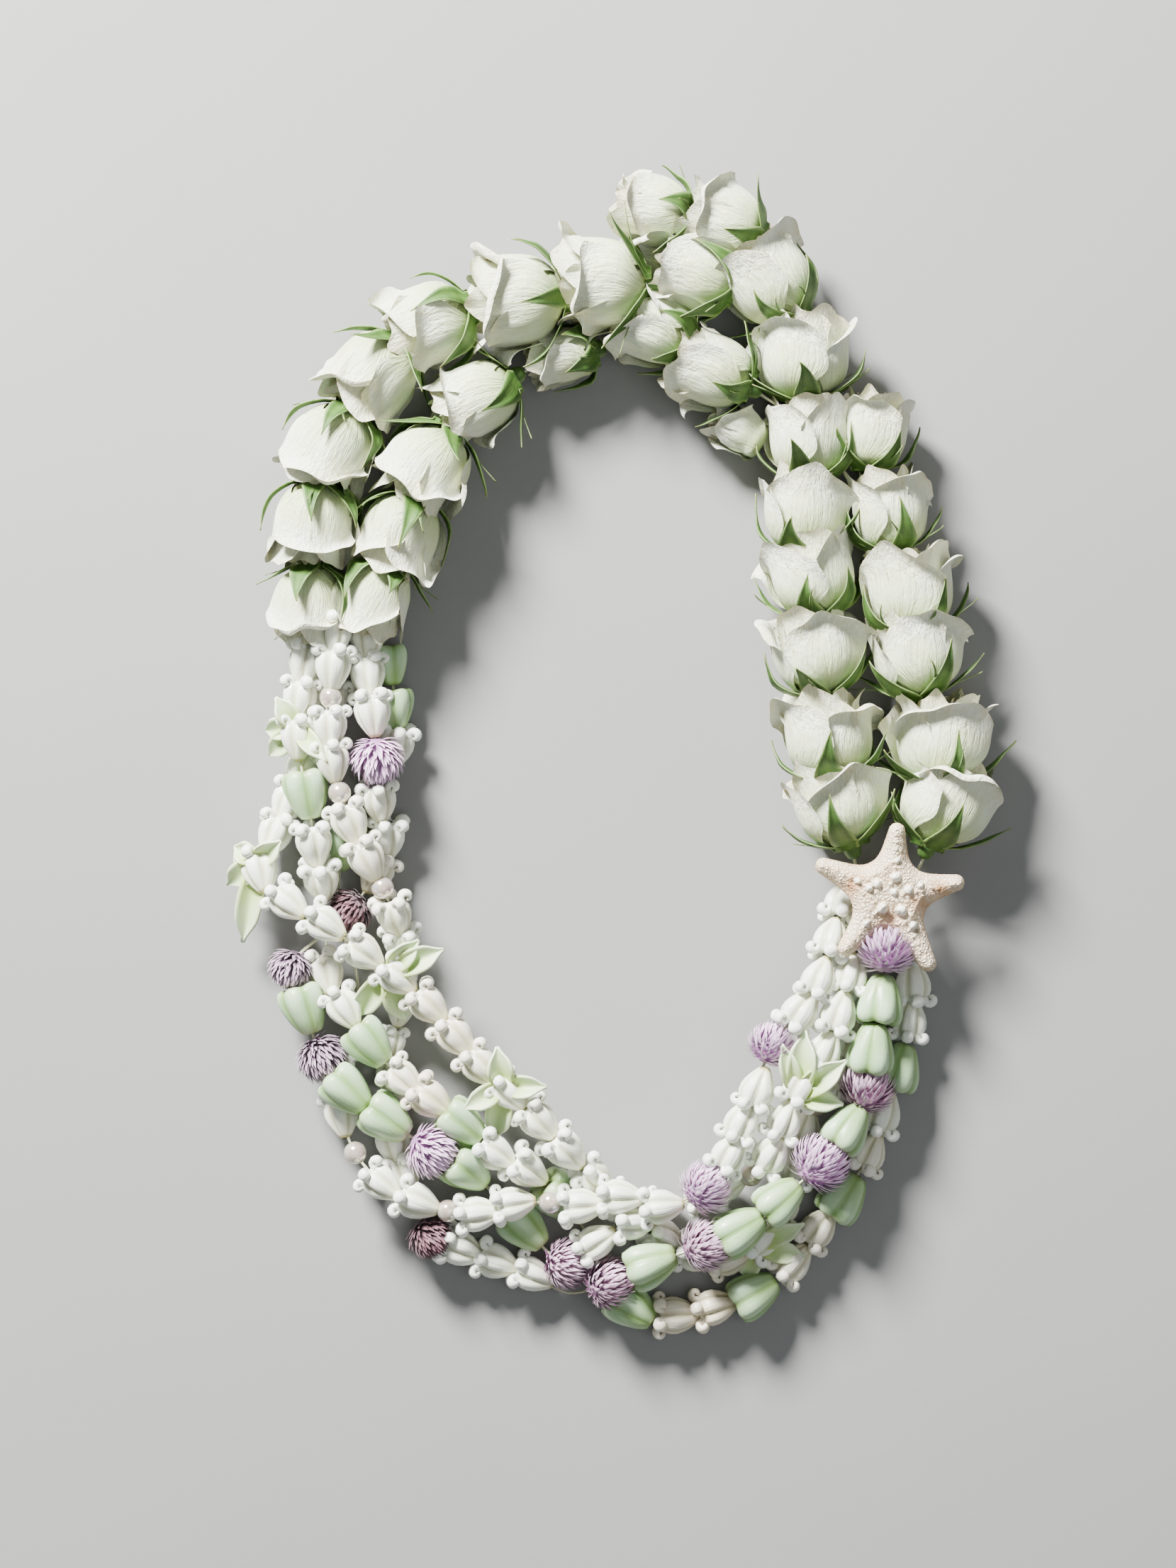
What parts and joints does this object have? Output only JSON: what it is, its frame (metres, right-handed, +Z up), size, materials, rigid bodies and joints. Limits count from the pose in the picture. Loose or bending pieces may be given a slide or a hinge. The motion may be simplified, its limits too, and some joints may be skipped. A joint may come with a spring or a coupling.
{
  "type": "lei",
  "caption": "Flower garland closed into a ring: two strands of white roses above, five strands of crown flowers, buds, globe amaranths and pearls below, a starfish at one join",
  "frame": {"origin": "middle of the box's underside, on the surface the garland lies on", "axes": "+Z up from that surface, +Y towards the rose strands' top, +X towards the starfish's side"},
  "size_m": [0.277, 0.4136, 0.0433],
  "materials": {
    "rose_petal": "soft matt creamy petal with fine veins",
    "calyx": "matt green sepals and hips, pale string",
    "crown": "waxy white flowers with yellow green tips",
    "bud": "waxy pale green buds",
    "globe": "papery lilac to purple bracts",
    "starfish": "matt grainy cream with tan hollows"
  },
  "bodies": {
    "root": {"bud_01": "bud", "bud_02": "bud", "bud_03": "bud", "bud_04": "bud", "bud_05": "bud", "bud_06": "bud", "bud_07": "bud", "bud_08": "bud", "bud_09": "bud", "bud_10": "bud", "bud_11": "bud", "bud_12": "bud", "bud_13": "bud", "bud_14": "bud", "bud_15": "bud", "bud_16": "bud", "bud_17": "bud", "bud_18": "bud", "bud_19": "bud", "bud_20": "bud", "crown_strand_1": "crown", "crown_strand_2": "crown", "crown_strand_3": "crown", "crown_strand_4": "crown", "crown_strand_5": "crown", "globe_01": "globe", "globe_02": "globe", "globe_03": "globe", "globe_04": "globe", "globe_05": "globe", "globe_06": "globe", "globe_07": "globe", "globe_08": "globe", "globe_09": "globe", "globe_10": "globe", "globe_11": "globe", "globe_12": "globe", "globe_13": "globe", "globe_14": "globe", "inner_rose_strand": "calyx", "outer_rose_strand": "calyx", "rose_petals_01": "rose_petal", "rose_petals_02": "rose_petal", "rose_petals_03": "rose_petal", "rose_petals_04": "rose_petal", "rose_petals_05": "rose_petal", "rose_petals_06": "rose_petal", "rose_petals_07": "rose_petal", "rose_petals_08": "rose_petal", "rose_petals_09": "rose_petal", "rose_petals_10": "rose_petal", "rose_petals_11": "rose_petal", "rose_petals_12": "rose_petal", "rose_petals_13": "rose_petal", "rose_petals_14": "rose_petal", "rose_petals_15": "rose_petal", "rose_petals_16": "rose_petal", "rose_petals_17": "rose_petal", "rose_petals_18": "rose_petal", "starfish": "starfish"}
  },
  "joints": []
}
